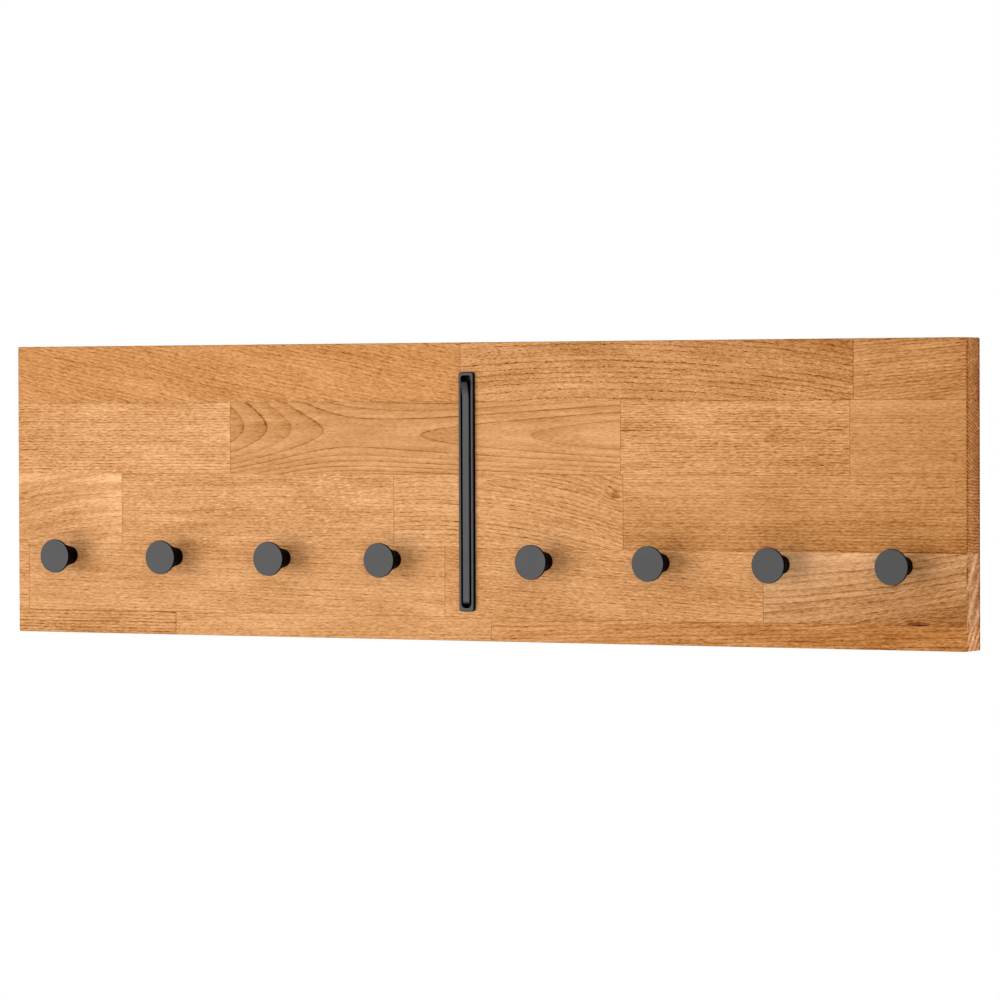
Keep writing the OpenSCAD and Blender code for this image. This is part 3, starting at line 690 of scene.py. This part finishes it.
def machine_screw_tree():
    """A pan-head screw with a rolled thread at each point, its head towards the wall."""
    tree = bpy.data.node_groups.new("machine_screws", "GeometryNodeTree")
    tree.interface.new_socket(name="Seats", in_out="INPUT", socket_type="NodeSocketGeometry")
    for name in ("Head radius", "Head height", "Shank radius", "Shank length", "Pitch", "Recess width"):
        tree.interface.new_socket(name=name, in_out="INPUT", socket_type="NodeSocketFloat")
    tree.interface.new_socket(name="Finish", in_out="INPUT", socket_type="NodeSocketMaterial")
    tree.interface.new_socket(name="Screws", in_out="OUTPUT", socket_type="NodeSocketGeometry")
    g = Graph(tree)
    size = g.node("NodeGroupInput").outputs
    screw = joined(g, (screw_head(g, size), screw_shank(g, size)))
    inputs = {"Points": size["Seats"], "Instance": screw, "Rotation": (-math.pi / 2, 0, 0)}
    placed = g.node("GeometryNodeInstanceOnPoints", inputs).outputs[0]
    solid = g.node("GeometryNodeRealizeInstances", {"Geometry": placed}).outputs[0]
    finished = g.node("GeometryNodeSetMaterial", {"Geometry": solid, "Material": size["Finish"]}).outputs[0]
    g.node("NodeGroupOutput", {0: finished})
    return tree


def closed_mesh(mesh, material):
    """Merges the doubles of a mesh, turns its faces outwards and gives it one material."""
    mesh.polygons.foreach_set("material_index", [0] * len(mesh.polygons))
    mesh.materials.clear()
    mesh.materials.append(material)
    edited = bmesh.new()
    edited.from_mesh(mesh)
    bmesh.ops.remove_doubles(edited, verts=edited.verts, dist=1e-7)
    bmesh.ops.recalc_face_normals(edited, faces=edited.faces)
    edited.to_mesh(mesh)
    edited.free()
    return mesh


def make_machine_screws(finish):
    """The screws that hold the knobs, in place of their plain CAD solids."""
    low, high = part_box("knob_screws")
    washer_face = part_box("knob_washers")[1].y
    head_radius = (high.z - low.z) / 2
    seats = []
    for knob in knobs:
        knob_low, knob_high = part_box(knob)
        seats.append(((knob_low.x + knob_high.x) / 2, washer_face, (low.z + high.z) / 2))
    points = bpy.data.meshes.new("machine_screws")
    points.from_pydata(seats, [], [])
    screws = bpy.data.objects.new("machine_screws", points)
    bpy.context.scene.collection.objects.link(screws)
    modifier = screws.modifiers.new("machine_screws", "NODES")
    modifier.node_group = machine_screw_tree()
    values = {
        "Head radius": head_radius,
        "Head height": high.y - washer_face,
        "Shank radius": head_radius / 2,
        "Shank length": washer_face - low.y,
        "Pitch": THREAD_PITCH,
        "Recess width": RECESS_WIDTH,
        "Finish": finish,
    }
    for item in modifier.node_group.interface.items_tree:
        if item.name in values:
            modifier[item.identifier] = values[item.name]
    evaluated = screws.evaluated_get(bpy.context.evaluated_depsgraph_get())
    made = bpy.data.meshes.new_from_object(evaluated)
    screws.modifiers.clear()
    screws.data = closed_mesh(made, finish)
    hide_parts("knob_screws")
    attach(screws, "panel")


# ---------------------------------------------------------------- studio

SURROUNDINGS = 0.34   # light of the white room, which itself is seen at full strength


def soft_light(name, where, size, power):
    """A large rectangular light that faces the rack and isn't seen itself."""
    lamp = bpy.data.lights.new(name, "AREA")
    lamp.shape = "RECTANGLE"
    lamp.size, lamp.size_y = size
    lamp.energy = power
    made = bpy.data.objects.new(name, lamp)
    bpy.context.scene.collection.objects.link(made)
    made.location = where
    made.rotation_euler = Vector(where).to_track_quat("Z", "Y").to_euler()
    made.visible_camera = False


def make_room():
    """White surroundings."""
    world = bpy.data.worlds.new("studio")
    bpy.context.scene.world = world
    world.use_nodes = True
    world.node_tree.nodes.clear()
    g = Graph(world.node_tree)
    seen = g.node("ShaderNodeLightPath").outputs["Is Camera Ray"]
    strength = g.line(seen, 1 - SURROUNDINGS, SURROUNDINGS)
    background = g.node("ShaderNodeBackground", {0: (1, 1, 1, 1), 1: strength})
    g.node("ShaderNodeOutputWorld", {0: background.outputs[0]})


def make_floor():
    """A pale floor well below the rack."""
    bpy.ops.mesh.primitive_plane_add(size=6, location=(0, 0, -1.3))
    floor = bpy.context.object
    floor.name = "studio_floor"
    made, _, shader = new_material("pale_floor")
    shader.inputs["Base Color"].default_value = (0.85, 0.85, 0.84, 1)
    shader.inputs["Roughness"].default_value = 0.9
    floor.data.materials.append(made)


make_camera()
figure_tree = oak_tree()
for stave in staves:
    dress([stave], oak(stave, figure_tree))
steel = plated_steel("zinc_plate", ZINC, 0.3)
black_rubber = rubber("black_rubber")
dress(knobs, powder_coat("knob_coat", KNOB_GREY))
dress(["rod_housing", "hanger_rod"], powder_coat("rod_coat", ROD_GREY))
dress(["knob_washers", "pivot_pin", "hanger_plate_left", "hanger_plate_right", "hanger_screws"], steel)
dress(["housing_screws"], plated_steel("black_steel", BLACK_OXIDE, 0.4))
dress(["rest_pad", "friction_washers"], black_rubber)
make_machine_screws(steel)
make_room()
make_floor()
soft_light("key", (-1.9, -3.1, -0.1), (2.8, 2.6), 84)
soft_light("fill", (2.4, -3.6, 0.5), (2, 2), 62)
soft_light("back", (-1.2, 3.4, 2.2), (2.8, 2.6), 105)
bpy.context.scene.view_settings.view_transform = "Standard"
